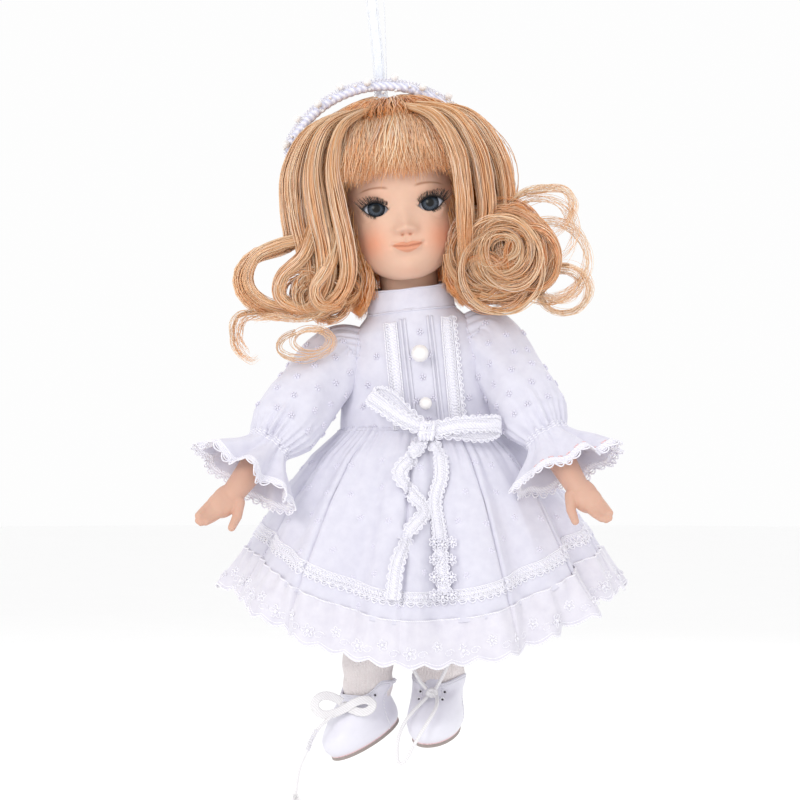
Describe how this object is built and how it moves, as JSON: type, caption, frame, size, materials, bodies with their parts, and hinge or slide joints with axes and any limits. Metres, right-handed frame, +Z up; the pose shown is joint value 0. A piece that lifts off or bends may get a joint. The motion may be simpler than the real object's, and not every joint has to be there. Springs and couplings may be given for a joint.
{
  "type": "hanging porcelain doll",
  "caption": "Small bisque doll on a ribbon loop, with a curled blond wig, pearl headband, white cotton dress and laced shoes, jointed at shoulders, elbows and hips",
  "frame": {"origin": "the point where a hook bears inside the top of the hanging ribbon loop", "axes": "+Z up along the hanging ribbon, -Y the way the doll faces, +X the doll's own left"},
  "size_m": [0.126, 0.0824, 0.2415],
  "materials": {
    "bisque": "unglazed bisque, matte, tinted flesh",
    "eye_glass": "polished glass with a grey-blue iris",
    "lash_hair": "fine black-brown fibre",
    "wig_net": "net sewn into a cap",
    "wig_hair": "glossy golden synthetic fibre",
    "headband_satin": "satin ribbon wrapped in turns",
    "headband_wire": "plain drawn wire",
    "pearl": "pearlised lacquer",
    "ribbon": "sheer organza with picot edges",
    "stuffed_cloth": "plain cotton, stuffed",
    "dress_cotton": "thin cotton with small embroidered spots",
    "petticoat_cotton": "stiffened cotton",
    "organza_flounce": "embroidered organza with a scalloped edge",
    "white_lace": "crocheted cotton lace",
    "sock_knit": "ribbed cotton knit, cream",
    "shoe_leatherette": "smooth coated cloth",
    "shoe_sole": "pressed board, grey-brown edge",
    "shoe_lace": "round braided cotton cord"
  },
  "bodies": {
    "doll": {"bodice": "dress_cotton", "bow_knot": "white_lace", "bow_loops": "white_lace", "bow_tails": "white_lace", "collar": "dress_cotton", "crown_pate": "bisque", "eyelashes": "lash_hair", "hanging_ribbon": "ribbon", "headband_pearls": "pearl", "headband_satin": "headband_satin", "headband_wire": "headband_wire", "hem_flounce": "organza_flounce", "left_eye": "eye_glass", "left_placket_braid": "white_lace", "pearl_buttons": "pearl", "petticoat": "petticoat_cotton", "ribbon_knot": "ribbon", "right_eye": "eye_glass", "right_placket_braid": "white_lace", "shoulder_head": "bisque", "skirt": "dress_cotton", "skirt_braid": "white_lace", "torso": "stuffed_cloth", "wig_cap": "wig_net", "wig_crown": "wig_hair", "wig_fringe": "wig_hair", "wig_left_curls": "wig_hair", "wig_right_curls": "wig_hair"},
    "left_arm": {"left_upper_arm": "stuffed_cloth", "left_sleeve": "dress_cotton"},
    "right_arm": {"right_upper_arm": "stuffed_cloth", "right_sleeve": "dress_cotton"},
    "left_hand": {"left_forearm": "bisque", "left_cuff": "dress_cotton", "left_cuff_lace": "white_lace"},
    "right_hand": {"right_forearm": "bisque", "right_cuff": "dress_cotton", "right_cuff_lace": "white_lace"},
    "left_leg": {"left_lace_knot": "shoe_lace", "left_lace_lower_loop": "shoe_lace", "left_lace_upper_loop": "shoe_lace", "left_lower_leg": "bisque", "left_shoe": "shoe_leatherette", "left_shoe_tongue": "shoe_leatherette", "left_sock": "sock_knit", "left_sole": "shoe_sole", "left_upper_leg": "stuffed_cloth"},
    "right_leg": {"right_lace_bow": "shoe_lace", "right_lace_end": "shoe_lace", "right_lace_knot": "shoe_lace", "right_lower_leg": "bisque", "right_shoe": "shoe_leatherette", "right_shoe_tongue": "shoe_leatherette", "right_sock": "sock_knit", "right_sole": "shoe_sole", "right_upper_leg": "stuffed_cloth"}
  },
  "joints": [
    {"name": "left_shoulder", "type": "hinge", "parent": "doll", "child": "left_arm", "pos_m": [0.03272, 0, -0.10568], "axis": [-0.9936, 0, -0.1132], "range_deg": [0, 60]},
    {"name": "left_elbow", "type": "hinge", "parent": "left_arm", "child": "left_hand", "pos_m": [0.04616, -0.01408, -0.1285], "axis": [-0.8616, 0, -0.5075], "range_deg": [0, 55], "deforming": ["left_sleeve"]},
    {"name": "left_hip", "type": "hinge", "parent": "doll", "child": "left_leg", "pos_m": [0.0186, 0, -0.168], "axis": [-1, 0, 0], "range_deg": [-28, 25]},
    {"name": "right_shoulder", "type": "hinge", "parent": "doll", "child": "right_arm", "pos_m": [-0.011, 0, -0.11066], "axis": [-0.9936, 0, -0.1132], "range_deg": [0, 60]},
    {"name": "right_elbow", "type": "hinge", "parent": "right_arm", "child": "right_hand", "pos_m": [-0.02694, -0.01408, -0.13181], "axis": [-0.7986, 0, 0.6018], "range_deg": [0, 55], "deforming": ["right_sleeve"]},
    {"name": "right_hip", "type": "hinge", "parent": "doll", "child": "right_leg", "pos_m": [-0.0027, 0, -0.168], "axis": [-1, 0, 0], "range_deg": [-28, 25]}
  ]
}
